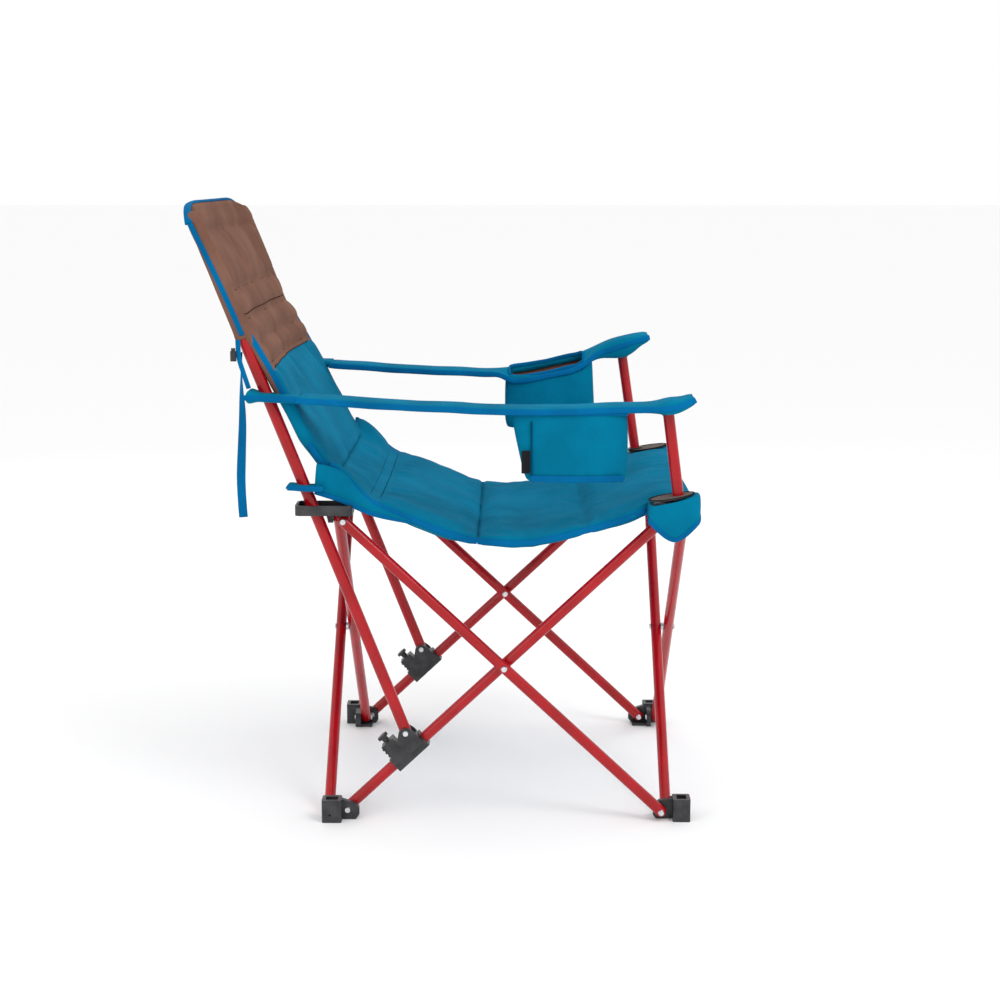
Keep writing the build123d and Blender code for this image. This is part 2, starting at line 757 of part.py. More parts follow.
with BuildPart() as lock:
    with BuildSketch(Plane.XY.offset(756)):
        with Locations((-292, chair(427))):
            RectangleRounded(12, 9, 3)
    extrude(amount=16)
    with BuildSketch(Plane.XY.offset(772.5)):
        with Locations((-292, chair(427))):
            Circle(3.4)
    extrude(amount=4)
    with BuildSketch(Plane.XY.offset(770)):
        with Locations((-292, chair(427))):
            Circle(2.2)
    extrude(amount=4)
put(lock, "cord_lock")
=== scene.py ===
import math

import bmesh
import bpy
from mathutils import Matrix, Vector, noise


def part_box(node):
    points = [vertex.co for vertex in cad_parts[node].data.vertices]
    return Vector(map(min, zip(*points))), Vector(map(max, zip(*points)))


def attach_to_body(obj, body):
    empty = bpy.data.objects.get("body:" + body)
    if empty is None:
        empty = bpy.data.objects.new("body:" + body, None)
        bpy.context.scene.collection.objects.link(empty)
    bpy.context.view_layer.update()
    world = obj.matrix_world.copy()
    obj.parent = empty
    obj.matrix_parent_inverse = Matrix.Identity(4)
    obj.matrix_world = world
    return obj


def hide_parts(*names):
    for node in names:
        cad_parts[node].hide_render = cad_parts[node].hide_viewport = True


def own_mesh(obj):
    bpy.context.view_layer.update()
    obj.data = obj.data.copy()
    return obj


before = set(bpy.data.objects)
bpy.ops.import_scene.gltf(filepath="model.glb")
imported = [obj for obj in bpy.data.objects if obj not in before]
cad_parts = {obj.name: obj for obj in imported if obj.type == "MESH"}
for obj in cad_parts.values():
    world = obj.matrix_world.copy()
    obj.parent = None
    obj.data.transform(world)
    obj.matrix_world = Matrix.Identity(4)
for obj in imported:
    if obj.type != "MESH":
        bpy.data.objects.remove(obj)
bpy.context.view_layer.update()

# Lengths are in millimetres in the chair's own frame, where y = 0 is the middle of the frame. at() turns them
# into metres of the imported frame.
rivet_low, rivet_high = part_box("crossing_rivet_right")
MIDDLE = (rivet_low[1] + rivet_high[1]) / 2
# How far the corners, and with them the arms and back tubes, are from the chair's middle plane.
CORNER = 278.33
# The share of a length that is left when the chair is folded.
FOLD_KEEP = 0.296
RIGHT_ARM_KEEP = 0.163
LEFT_ARM_KEEP = 0.057
ARM_AXIS = (0, 0.9496, 0.3133)
# The pivot of the back tubes and how far they lean.
PIVOT_Y, PIVOT_Z, LEAN = 160.8, 147.5, math.radians(21.34)


def at(x, y, z):
    """A point of the row frame, in metres."""
    return Vector((x / 1000, y / 1000 + MIDDLE, z / 1000))


def smooth(low, high, value):
    """0 up to low and 1 from high on, with an even change between them. low may be the greater."""
    t = min(1.0, max(0.0, (value - low) / (high - low)))
    return t * t * (3 - 2 * t)


def blunt(value, power):
    """A sine or cosine pushed outwards, which squares off a circle."""
    return math.copysign(abs(value) ** power, value)


def circle(count):
    """The angles of this many points round a circle."""
    return [2 * math.pi * k / count for k in range(count)]


def near(distance, width):
    """1 on a seam, falling to 0 away from it."""
    return math.exp(-((distance / width) ** 2))


def tube_y(z):
    """Where the axis of a back tube is at this height."""
    return PIVOT_Y + (z - PIVOT_Z) * math.tan(LEAN)


def ripple(x, y, z, size, seed=0.0):
    """Smooth unevenness between about -1 and 1, in waves of this size."""
    return noise.noise(Vector((x / size + seed, y / size, z / size)))


def linked(name, data):
    """A new object in the scene."""
    made = bpy.data.objects.new(name, data)
    bpy.context.collection.objects.link(made)
    return made


# ---------------------------------------------------------------- camera
tilt, turn = 0.16987, 0.0055917
look = Vector((math.cos(tilt) * math.cos(turn), math.cos(tilt) * math.sin(turn), -math.sin(tilt)))
lens = bpy.data.cameras.new("camera")
lens.lens = 68.67
lens.sensor_width = 36
camera = linked("camera", lens)
camera.location = at(-3290.8, -10.1, 1048.7)
camera.rotation_euler = look.to_track_quat("-Z", "Y").to_euler()
bpy.context.scene.camera = camera


# ---------------------------------------------------------------- materials
def shader(name, colour, roughness, **values):
    """A material whose nodes are ready for a texture, with its even values on the shader's own sockets."""
    material = bpy.data.materials.new(name)
    material.use_nodes = True
    tree = material.node_tree
    surface = tree.nodes["Principled BSDF"]
    surface.inputs["Base Color"].default_value = (*colour, 1)
    surface.inputs["Roughness"].default_value = roughness
    for key, value in values.items():
        surface.inputs[key.replace("_", " ")].default_value = value
    return material, tree, surface


def texture(tree, kind, source, **values):
    """A texture node fed by these coordinates."""
    made = tree.nodes.new(kind)
    tree.links.new(source, made.inputs["Vector"])
    for key, value in values.items():
        made.inputs[key].default_value = value
    return made


def shades(tree, factor, dark, light):
    """A colour that follows a factor from dark to light."""
    ramp = tree.nodes.new("ShaderNodeValToRGB")
    ramp.color_ramp.elements[0].color = (*dark, 1)
    ramp.color_ramp.elements[1].color = (*light, 1)
    ramp.color_ramp.elements[0].position = 0.35
    ramp.color_ramp.elements[1].position = 0.65
    tree.links.new(factor, ramp.inputs["Fac"])
    return ramp.outputs["Color"]


def bump(tree, surface, height, distance, strength, before=None):
    """Adds relief to a shader, on top of an earlier one where there is one."""
    made = tree.nodes.new("ShaderNodeBump")
    made.inputs["Distance"].default_value = distance
    made.inputs["Strength"].default_value = strength
    tree.links.new(height, made.inputs["Height"])
    if before is not None:
        tree.links.new(before, made.inputs["Normal"])
    tree.links.new(made.outputs["Normal"], surface.inputs["Normal"])
    return made.outputs["Normal"]


def fabric(name, light, dark, thread=285.0, puckers=0.6):
    """Woven cloth: warp and weft a millimetre apart, softer creases and uneven dye."""
    material, tree, surface = shader(name, light, 0.9, Specular_IOR_Level=0.04)
    place = tree.nodes.new("ShaderNodeTexCoord")
    uneven = texture(tree, "ShaderNodeTexNoise", place.outputs["Object"], Scale=11.0, Detail=5.0)
    tree.links.new(shades(tree, uneven.outputs["Fac"], dark, light), surface.inputs["Base Color"])
    waves = []
    for direction in ("X", "Y"):
        wave = texture(tree, "ShaderNodeTexWave", place.outputs["UV"], Scale=thread, Distortion=0.6)
        wave.bands_direction = direction
        waves.append(wave.outputs["Fac"])
    weave = tree.nodes.new("ShaderNodeMath")
    weave.operation = "MULTIPLY"
    tree.links.new(waves[0], weave.inputs[0])
    tree.links.new(waves[1], weave.inputs[1])
    creases = texture(tree, "ShaderNodeTexNoise", place.outputs["Object"], Scale=34.0, Detail=4.0)
    first = bump(tree, surface, creases.outputs["Fac"], 0.004, puckers)
    bump(tree, surface, weave.outputs[0], 0.0003, 0.5, first)
    return material


def painted():
    """Glossy red powder coat, a little darker and rougher in places."""
    gloss = {"Coat_Weight": 0.3, "Coat_Roughness": 0.04, "Specular_IOR_Level": 0.25}
    material, tree, surface = shader("red_paint", (0.40, 0.0008, 0.006), 0.25, **gloss)
    place = tree.nodes.new("ShaderNodeTexCoord")
    wear = texture(tree, "ShaderNodeTexNoise", place.outputs["Object"], Scale=18.0, Detail=6.0)
    colour = shades(tree, wear.outputs["Fac"], (0.31, 0.0004, 0.003), (0.41, 0.0008, 0.006))
    tree.links.new(colour, surface.inputs["Base Color"])
    peel = texture(tree, "ShaderNodeTexNoise", place.outputs["Object"], Scale=420.0, Detail=2.0)
    bump(tree, surface, peel.outputs["Fac"], 0.0002, 0.25)
    return material


def moulded():
    """Black moulded nylon with a fine spark texture."""
    material, tree, surface = shader("black_nylon", (0.018, 0.018, 0.02), 0.42)
    place = tree.nodes.new("ShaderNodeTexCoord")
    scuff = texture(tree, "ShaderNodeTexNoise", place.outputs["Object"], Scale=60.0, Detail=6.0)
    colour = shades(tree, scuff.outputs["Fac"], (0.012, 0.012, 0.014), (0.035, 0.035, 0.038))
    tree.links.new(colour, surface.inputs["Base Color"])
    grain = texture(tree, "ShaderNodeTexNoise", place.outputs["Object"], Scale=900.0, Detail=2.0)
    bump(tree, surface, grain.outputs["Fac"], 0.0003, 0.4)
    return material


def plated():
    """Zinc plated steel with turned marks."""
    material, tree, surface = shader("zinc_plate", (0.7, 0.7, 0.72), 0.3, Metallic=1.0)
    place = tree.nodes.new("ShaderNodeTexCoord")
    marks = texture(tree, "ShaderNodeTexNoise", place.outputs["Object"], Scale=500.0, Detail=3.0)
    colour = shades(tree, marks.outputs["Fac"], (0.55, 0.55, 0.57), (0.8, 0.8, 0.82))
    tree.links.new(colour, surface.inputs["Base Color"])
    bump(tree, surface, marks.outputs["Fac"], 0.0002, 0.3)
    return material


BLUE = fabric("blue_cloth", (0.0004, 0.180, 0.315), (0.0004, 0.138, 0.245))
BROWN = fabric("brown_cloth", (0.215, 0.108, 0.076), (0.165, 0.080, 0.056))
TAPE = fabric("blue_tape", (0.001, 0.140, 0.34), (0.001, 0.10, 0.25), thread=180.0, puckers=0.2)
PATCH = fabric("grey_patch", (0.16, 0.13, 0.115), (0.1, 0.08, 0.072))
DARK = fabric("dark_lining", (0.02, 0.02, 0.024), (0.01, 0.01, 0.012))
THREAD = fabric("blue_thread", (0.0004, 0.07, 0.13), (0.0004, 0.05, 0.10), thread=900.0, puckers=0.1)
BROWN_THREAD = fabric("brown_thread", (0.05, 0.026, 0.018), (0.035, 0.018, 0.012), thread=900.0, puckers=0.1)
RED, BLACK, STEEL = painted(), moulded(), plated()

hard = {"bar_": RED, "back_tube_": RED, "arm_post_": RED, "foot_": BLACK, "hub_": BLACK, "slider_": BLACK}
hard |= {"pull_pin_": BLACK, "cord_lock": BLACK, "arm_post_cap_": BLACK, "back_tube_cap_": BLACK}
hard |= {"crossing_rivet": STEEL, "foot_rivets": STEEL, "hub_rivets": STEEL, "back_pivot_rivet": STEEL}
# A later start of a name wins over an earlier one.
for name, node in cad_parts.items():
    for start, material in hard.items():
        if name.startswith(start):
            node.data.materials.clear()
            node.data.materials.append(material)


# ---------------------------------------------------------------- making meshes
def outward(mesh):
    """Turns every face to the outside and shades the mesh smooth."""
    work = bmesh.new()
    work.from_mesh(mesh)
    bmesh.ops.recalc_face_normals(work, faces=work.faces)
    work.to_mesh(mesh)
    work.free()
    for polygon in mesh.polygons:
        polygon.use_smooth = True


def loft(name, rings, loop=True, ends="zip", materials=(BLUE,), pick=None):
    """A skin over rings of points, with a UV map in metres.

    "zip" closes an end from side to side, and "face" closes it with one face.
    """
    count = len(rings[0])
    middle = rings[len(rings) // 2]
    run, rise = [0.0], [0.0]
    for j in range(count):
        run.append(run[-1] + (middle[(j + 1) % count] - middle[j]).length)
    for a, b in zip(rings, rings[1:]):
        rise.append(rise[-1] + sum((p - q).length for p, q in zip(a, b)) / count)
    faces, corners = [], []
    for i in range(len(rings) - 1):
        for j in range(count if loop else count - 1):
            k = (j + 1) % count
            faces.append((i * count + j, i * count + k, (i + 1) * count + k, (i + 1) * count + j))
            left, right, bottom, top = run[j], run[j + 1], rise[i], rise[i + 1]
            corners.append([(left, bottom), (right, bottom), (right, top), (left, top)])
    for base in (0, (len(rings) - 1) * count) if ends else ():
        if ends == "zip":
            for j in range(count // 2 - 1):
                faces.append((base + j, base + j + 1, base + count - 2 - j, base + count - 1 - j))
                corners.append([(run[j], 0), (run[j + 1], 0), (run[j + 1], 0.01), (run[j], 0.01)])
        else:
            faces.append(tuple(range(base, base + count)))
            ring = rings[0] if base == 0 else rings[-1]
            corners.append([(p.x, p.y) for p in ring])
    mesh = bpy.data.meshes.new(name)
    mesh.from_pydata([p for ring in rings for p in ring], [], faces)
    layer = mesh.uv_layers.new(name="UVMap")
    flat = [uv for face in corners for uv in face]
    for spot, uv in zip(layer.data, flat):
        spot.uv = uv
    for material in materials:
        mesh.materials.append(material)
    outward(mesh)
    if pick:
        for polygon in mesh.polygons:
            polygon.material_index = pick(polygon.center, polygon.normal)
    return linked(name, mesh)


def settle(piece):
    """Makes what the modifiers give the piece's own mesh."""
    bpy.context.view_layer.update()
    plan = bpy.context.evaluated_depsgraph_get()
    piece.data = bpy.data.meshes.new_from_object(piece.evaluated_get(plan))
    piece.modifiers.clear()


def finished(piece):
    """Applies one subdivision, so that the mesh is final."""
    step = piece.modifiers.new("smooth", "SUBSURF")
    step.levels = step.render_levels = 1
    settle(piece)
    piece.data.name = piece.name
    return piece


def between(p, q, r, s, t):
    """A share t of the way from q to r, on the smooth curve that p and s shape."""
    return 0.5 * (
        2 * q
        + (r - p) * t
        + (2 * p - 5 * q + 4 * r - s) * t * t
        + (3 * q - p - 3 * r + s) * t**3
    )


def spline(points, per_run=14):
    """A smooth line through points of any dimension."""
    whole = [points[0], *points, points[-1]]
    line = []
    for a, b, c, d in zip(whole, whole[1:], whole[2:], whole[3:]):
        for step in range(per_run):
            t = step / per_run
            line.append([between(p, q, r, s, t) for p, q, r, s in zip(a, b, c, d)])
    return line + [list(points[-1])]


def crowded(whole, count):
    """Places along a length, closer together near its two ends."""
    places = [0, 1.5, 4, 8] + [8 + (whole - 16) * i / count for i in range(1, count)]
    return places + [whole - 8, whole - 4, whole - 1.5, whole]


def profile(points, step):
    """(y, z, normal y, normal z, distance to the nearer end) at places along a smooth line."""
    line = spline(points)
    run = [0.0]
    for p, q in zip(line, line[1:]):
        run.append(run[-1] + math.dist(p, q))
    whole = run[-1]
    count = max(4, round(whole / step))
    made = []
    for place in crowded(whole, count):
        k = max(i for i in range(len(run) - 1) if run[i] <= place + 1e-9)
        share = (place - run[k]) / (run[k + 1] - run[k])
        y, z = (p + (q - p) * share for p, q in zip(line[k], line[k + 1]))
        ty, tz = (q - p for p, q in zip(line[max(0, k - 3)], line[min(len(line) - 1, k + 4)]))
        size = math.hypot(ty, tz)
        made.append((y, z, -tz / size, ty / size, min(place, whole - place)))
    return made


def rounded(distance, radius):
    """How full a pad is at this distance from its edge."""
    left = 1 - min(1.0, distance / radius)
    return max(0.1, math.sqrt(max(0.0, 1 - left * left)))


def pad(name, line, half, thick, lift, step=9.0, x_middle=0.0, edge=11.0, **looks):
    """A closed pad along a line in the YZ plane.

    half(y, z) is its half width, thick(x, y, z, side) its half thickness, and lift(x, y, z) moves its middle.
    """
    stations = profile(line, step)
    count = max(4, round(2 * max(half(y, z) for y, z, *_ in stations) / step))
    made = []
    for y, z, ny, nz, end in stations:
        wide = half(y, z)
        top, bottom = [], []
        for place in crowded(2 * wide, count):
            x = place - wide
            full = rounded(min(place, 2 * wide - place), edge) * rounded(end, edge)
            dx, dy, dz = lift(x, y, z)
            for side, store in ((1, top), (-1, bottom)):
                out = side * thick(x, y, z, side) * full
                store.append(at(x_middle + x + dx, y + dy + ny * out, z + dz + nz * out))
        made.append(top + bottom[::-1])
    return loft(name, made, **looks)


def still(x, y, z):
    """The lift of a pad whose middle stays on its line."""
    return 0, 0, 0


def inflate(piece, hold, cap, pressure, slack, frames=20):
    """Fills a closed pad by cloth simulation, held along its seams, and keeps the result as its shape.

    No point moves further than cap. A simulation that breaks down leaves the shape as it was.
    """
    held = piece.vertex_groups.new(name="held")
    start = [v.co.copy() for v in piece.data.vertices]
    for index, point in enumerate(start):
        held.add([index], hold(point.x * 1000, (point.y - MIDDLE) * 1000, point.z * 1000), "REPLACE")
    cloth = piece.modifiers.new("cloth", "CLOTH")
    settings = cloth.settings
    settings.quality = 4
    settings.mass = 0.15
    settings.tension_stiffness = settings.compression_stiffness = 12
    settings.bending_stiffness = 0.4
    settings.shrink_min = -slack
    settings.vertex_group_mass = "held"
    settings.pin_stiffness = 5
    settings.use_pressure = True
    settings.uniform_pressure_force = pressure
    settings.effector_weights.gravity = 0
    cloth.collision_settings.use_collision = False
    cloth.point_cache.frame_end = frames
    scene = bpy.context.scene
    for number in range(1, frames + 1):
        scene.frame_set(number)
    plan = bpy.context.evaluated_depsgraph_get()
    shaped = piece.evaluated_get(plan)
    moved = [v.co.copy() for v in shaped.data.vertices]
    piece.modifiers.clear()
    for vertex, old, new in zip(piece.data.vertices, start, moved):
        shift = new - old
        if not shift.length < 1:
            shift = Vector()
        if shift.length > cap / 1000:
            shift *= cap / 1000 / shift.length
        vertex.co = old + shift
    scene.frame_set(1)


def tape(name, points, wide, thick, across, material=TAPE, closed=False, per_run=8):
    """A flat ribbon along a smooth line: across is the way its width lies, or gives it at (x, y, z)."""
    line = spline([*points, points[0]] if closed else points, per_run)
    if closed:
        line = line[:-1]
    rings = []
    for i, p in enumerate(line):
        before = line[i - 1] if i or closed else p
        after = line[(i + 1) % len(line)] if i + 1 < len(line) or closed else p
        along = (Vector(after) - Vector(before)).normalized()
        side = Vector(across(*p) if callable(across) else across).normalized()
        side = (side - along * side.dot(along)).normalized()
        up = along.cross(side)
        ring = []
        for a in circle(10):
            spread = side * (wide / 2 * blunt(math.cos(a), 0.5))
            ring.append(at(*(Vector(p) + spread + up * (thick / 2 * blunt(math.sin(a), 0.7)))))
        rings.append(ring)
    if closed:
        rings.append([p.copy() for p in rings[0]])
    return finished(loft(name, rings, ends=None if closed else "face", materials=(material,)))


STITCH_PROUD, STITCH_LENGTH, STITCH_PITCH, STITCH_RADIUS = 0.9, 4.4, 5.2, 0.75
STITCH_RINGS = ((-0.5, 0.35), (-0.3, 1.0), (0.3, 1.0), (0.5, 0.35))


def stitches(name, lines, material):
    """Rows of thread: lines hold (x, y, z, normal y, normal z) places, close together."""
    points, faces = [], []
    for line in lines:
        travelled, last = 0.0, None
        for a, b in zip(line, line[1:]):
            p, q = Vector(a[:3]), Vector(b[:3])
            size = (q - p).length
            if size < 1e-6:
                continue
            along, up = (q - p) / size, Vector((0, a[3], a[4]))
            side = along.cross(up)
            while last is None or last + STITCH_PITCH <= travelled + size:
                last = 0.0 if last is None else last + STITCH_PITCH
                middle = p + along * (last - travelled) + up * STITCH_PROUD
                base = len(points)
                for reach, girth in STITCH_RINGS:
                    for k in range(6):
                        c, s = math.cos(k * math.pi / 3), math.sin(k * math.pi / 3)
                        round_it = (side * c + up * s) * STITCH_RADIUS * girth
                        points.append(at(*(middle + along * (reach * STITCH_LENGTH) + round_it)))
                for row in range(3):
                    start = base + row * 6
                    for k in range(6):
                        n = (k + 1) % 6
                        faces.append((start + k, start + n, start + 6 + n, start + 6 + k))
                faces.append(tuple(base + k for k in range(6)))
                faces.append(tuple(base + 18 + k for k in range(6)))
            travelled += size
    mesh = bpy.data.meshes.new(name)
    mesh.from_pydata(points, [], faces)
    outward(mesh)
    mesh.uv_layers.new(name="UVMap")
    mesh.materials.append(material)
    return linked(name, mesh)


def attach(piece, body, squash=None, stands_for=()):
    """Says which body a piece rides and what it replaces. With a squash, the piece only gets a mesh of its
    own.
    """
    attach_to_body(piece, body)
    if stands_for:
        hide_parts(*stands_for)
    if squash:
        axis, anchor, keep = squash
        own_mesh(piece)
        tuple(axis)
        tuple(anchor)


UPRIGHT, LENGTHWISE = (0, 0, 1), (0, 1, 0)
ACROSS = ((1, 0, 0), at(-CORNER, 0, 0), FOLD_KEEP)
ALONG_RIGHT = (ARM_AXIS, at(-CORNER, -290, 690), RIGHT_ARM_KEEP)
ALONG_LEFT = (ARM_AXIS, at(CORNER, -235, 735), LEFT_ARM_KEEP)
SIDES = ((-1, "right"), (1, "left"))


# ---------------------------------------------------------------- hanging strap
route = [(-270, 417, 768), (-269, 419, 718), (-271, 417, 664)]
route += [(-273, 420, 606), (-271, 423, 552), (-269, 420, 502)]
STRAP_LENGTH, STRAP_WIDTH, STRAP_THICK = 0.2655, 0.014, 0.0018
curve = bpy.data.curves.new("strap_route", "CURVE")
curve.dimensions = "3D"
curve.resolution_u = 16
run = curve.splines.new("NURBS")
run.points.add(len(route) - 1)
for spot, place in zip(run.points, route):
    spot.co = (*at(*place), 1)
run.order_u = 3
run.use_endpoint_u = True
guide = linked("strap_route", curve)
bpy.context.view_layer.update()
traced = bpy.data.meshes.new_from_object(guide)
path = [v.co.copy() for v in traced.vertices]
bpy.data.objects.remove(guide)
bpy.data.curves.remove(curve)

rings = []
for i, place in enumerate(path):
    share = i / (len(path) - 1)
    along = (path[min(i + 1, len(path) - 1)] - path[max(i - 1, 0)]).normalized()
    angle = math.radians(90) * smooth(0.05, 0.55, share) + 0.25 * math.sin(9 * share)
    side = Vector((math.cos(angle), math.sin(angle), 0))
    side = (side - along * side.dot(along)).normalized()
    up = along.cross(side)
    ring = []
    for a in circle(12):
        wide = STRAP_WIDTH / 2 * blunt(math.cos(a), 0.4)
        ring.append(place + side * wide + up * STRAP_THICK / 2 * blunt(math.sin(a), 0.7))
    rings.append(ring)
strap = loft("hanging_strap_band", rings, ends="face", materials=(TAPE,))
attach(strap, "back_right", stands_for=("hanging_strap",))
[tuple(p) for p in path]


# ---------------------------------------------------------------- back
BACK_LINE = ((272, 562), (300, 602), (335, 668), (368, 735))
BACK_LINE += ((405, 805), (436, 860), (488, 951), (506, 1000))
BACK_ROWS = (952, 861, 816, 777, 743)
BACK_COLUMNS = (-208, 0, 208)


def back_half(y, z):
    return 262 + 26 * smooth(600, 640, z) + 4 * smooth(780, 810, z) - 98 * max(0.0, (z - 972) / 31) ** 1.5


def back_seams(x, z):
    fill = 1.0
    for row in BACK_ROWS:
        fill *= 1 - 0.55 * near(z - row, 6)
    for column in BACK_COLUMNS:
        fill *= 1 - 0.5 * near(x - column, 6) * smooth(700, 745, z)
    return fill


def back_thick(x, y, z, side):
    if side > 0:
        return (12 + 1.2 * ripple(x, y, z, 60)) * back_seams(x, z)
    return 9 + 1.5 * ripple(x, y, z, 70, 5)


def back_lift(x, y, z):
    sag = 16 * near(z - 740, 120) * (1 - (x / 300) ** 2)
    on_tube = smooth(222, 268, abs(x)) * smooth(785, 815, z)
    return 0, (sag + 3 * ripple(x, y, z, 90, 3)) * (1 - on_tube) + (tube_y(z) - 1 - y) * on_tube, 0


def back_pick(centre, normal):
    z = centre.z * 1000
    front = normal.y < 0
    return 0 if z > (739 if front else 700) else 1


back_looks = {"materials": (BROWN, BLUE), "pick": back_pick}
back_pad = pad("back_pad", BACK_LINE, back_half, back_thick, back_lift, edge=8, **back_looks)


def back_hold(x, y, z):
    held = max(near(z - row, 6) for row in BACK_ROWS)
    held = max([held] + [near(x - column, 6) * smooth(700, 745, z) for column in BACK_COLUMNS])
    rim = smooth(20, 6, back_half(y, z) - abs(x))
    return min(1.0, max(held, rim, smooth(590, 570, z), smooth(985, 995, z)))


inflate(back_pad, back_hold, 4, pressure=2.0, slack=0.002)
attach(finished(back_pad), "back_right", ACROSS, ("back_panel",))

back_profile = profile(BACK_LINE, 9.0)


def on_back(x, z):
    """The front face of the back at this height: a place with its normal."""
    y0, z0, ny, nz, _ = min(back_profile, key=lambda p: abs(p[1] - z))
    out = back_thick(x, y0, z0, 1)
    dx, dy, dz = back_lift(x, y0, z0)
    return x, y0 + dy + ny * out, z0 + dz + nz * out, ny, nz


lines = [[on_back(x, row + off) for x in range(-250, 251, 6)] for row in BACK_ROWS for off in (-2.5, 2.5)]
lines += [[on_back(column, z) for z in range(746, 985, 6)] for column in BACK_COLUMNS]
attach(stitches("back_stitching", lines, BROWN_THREAD), "back_right", ACROSS)

top = [(-290, 492, 970), (-280, 495, 982), (-258, 499, 991), (-225, 503, 998)]
top += [(-180, 505, 1001), (-90, 506, 1001), (0, 506, 1001)]
top += [(-x, y, z) for x, y, z in top[-2::-1]]
binding = tape("back_top_binding", top, 13, 6, (0, 0.92, -0.38))
attach(binding, "back_right", ACROSS)
# How far the sleeves' binding is behind the tubes' axes at each height, and the back's edge below the sleeves.
BEHIND_TUBE = ((972, 8), (930, 4), (888, 1), (846, -1), (796, -2))
BACK_EDGE = ((286, 403, 800), (286, 366, 735), (284, 334, 668), (270, 303, 606), (258, 274, 566))
for sign, side_name in SIDES:
    edge = [(sign * 291, tube_y(z) + behind, z) for z, behind in BEHIND_TUBE]
    binding = tape(f"sleeve_binding_{side_name}", edge, 9, 6, (0, -0.93, 0.36))
    attach(binding, f"back_{side_name}")
    edge = [(sign * x, y, z) for x, y, z in BACK_EDGE]
    binding = tape(f"back_edge_binding_{side_name}", edge, 10, 5, (0, -0.9, 0.4))
    attach(binding, "back_right", ACROSS)


# ---------------------------------------------------------------- sleeves round the back tubes
# (height, radius)
SLEEVE = [(790, 12.0), (791, 13.0), (796, 13.2), (800, 12.4)] + [(z, 12.2) for z in range(812, 972, 12)]
SLEEVE += [(974, 12.0), (982, 11.0), (987, 8), (989.5, 3)]
for sign, side_name in SIDES:
    rings = []
    for z, radius in SLEEVE:
        ring = []
        for a in circle(24):
            wobble = 1 + 0.04 * ripple(90 * math.cos(a), 90 * math.sin(a), z, 40, sign)
            away = Vector((math.cos(a), math.sin(a) * math.cos(LEAN), -math.sin(a) * math.sin(LEAN)))
            away = away * radius * wobble
            ring.append(at(sign * CORNER + away.x, tube_y(z) + away.y, z + away.z))
        rings.append(ring)
    sleeve = finished(loft(f"back_sleeve_cloth_{side_name}", rings, ends="face", materials=(BROWN,)))
    attach(sleeve, f"back_{side_name}", stands_for=(f"back_sleeve_{side_name}",))


# ---------------------------------------------------------------- seat
SEAT_SPLIT = 43
SEAT_FRONT = ((-304, 531), (-267, 527), (-225, 513), (-130, 484), (-45, 466), (0, 463.5), (43.5, 466.2))
SEAT_REAR = ((SEAT_SPLIT, 466.2), (72, 473), (130, 495), (205, 524), (252, 545), (280, 561))
SEAT_ROWS = (-131, 207, 219)


def seat_half(y, z):
    return 250 + 36 * smooth(-262, -200, y) - 10 * smooth(235, 275, y)


def seat_thick(x, y, z, side):
    full = 11 + 1.6 * ripple(x, y, z, 70, 9)
    for row in SEAT_ROWS:
        full *= 1 - 0.6 * near(y - row, 6)
    return full if side > 0 else full * 0.8


def seat_lift(x, y, z):
    dip = -8 * (1 - (x / 290) ** 2) * smooth(-300, -150, y) * smooth(275, 180, y)
    wing = 30 * smooth(205, 275, y) * smooth(200, 285, abs(x))
    return 0, 0, dip + wing + 2.5 * ripple(x, y, z, 80, 2)


def seat_hold(x, y, z):
    held = max(near(y - row, 6) for row in SEAT_ROWS)
    rim = smooth(20, 6, seat_half(y, z) - abs(x))
    ends = max(smooth(16, 4, abs(y - SEAT_SPLIT)), smooth(-290, -300, y), smooth(256, 268, y))
    return min(1.0, max(held, rim, ends))


for name, line, body in (("front", SEAT_FRONT, "seat_front"), ("rear", SEAT_REAR, "seat_rear")):
    cushion = pad(f"seat_{name}_pad", line, seat_half, seat_thick, seat_lift)
    inflate(cushion, seat_hold, 6, pressure=3.0, slack=0.012)
    attach(finished(cushion), body, ACROSS, (f"seat_{name}_panel",))
    track = profile(line, 9.0)
    rows = []
    for y, z, ny, nz, _ in track:
        if any(abs(y - row) < 4.6 for row in SEAT_ROWS):
            row = []
            for x in range(-246, 247, 6):
                out, (dx, dy, dz) = seat_thick(x, y, z, 1), seat_lift(x, y, z)
                row.append((x, y + ny * out, z + dz + nz * out, ny, nz))
            rows.append(row)
    if rows:
        attach(stitches(f"seat_{name}_stitching", rows, THREAD), body, ACROSS)
    for sign, side_name in SIDES:
        edge = []
        for y, z, *_ in track[::4] + [track[-1]]:
            x = sign * (seat_half(y, z) - 0.5)
            edge.append((x, y, z + seat_lift(x, y, z)[2]))
        rim = tape(f"seat_{name}_binding_{side_name}", edge, 11, 5, UPRIGHT, per_run=4)
        attach(rim, body, ACROSS)


piping = [(x, SEAT_SPLIT, 466.5 + seat_lift(x, SEAT_SPLIT, 466)[2]) for x in range(-284, 285, 71)]
piping = tape("seat_middle_piping", piping, 9, 7, LENGTHWISE, material=BLUE)
attach(piping, "seat_front", ACROSS)
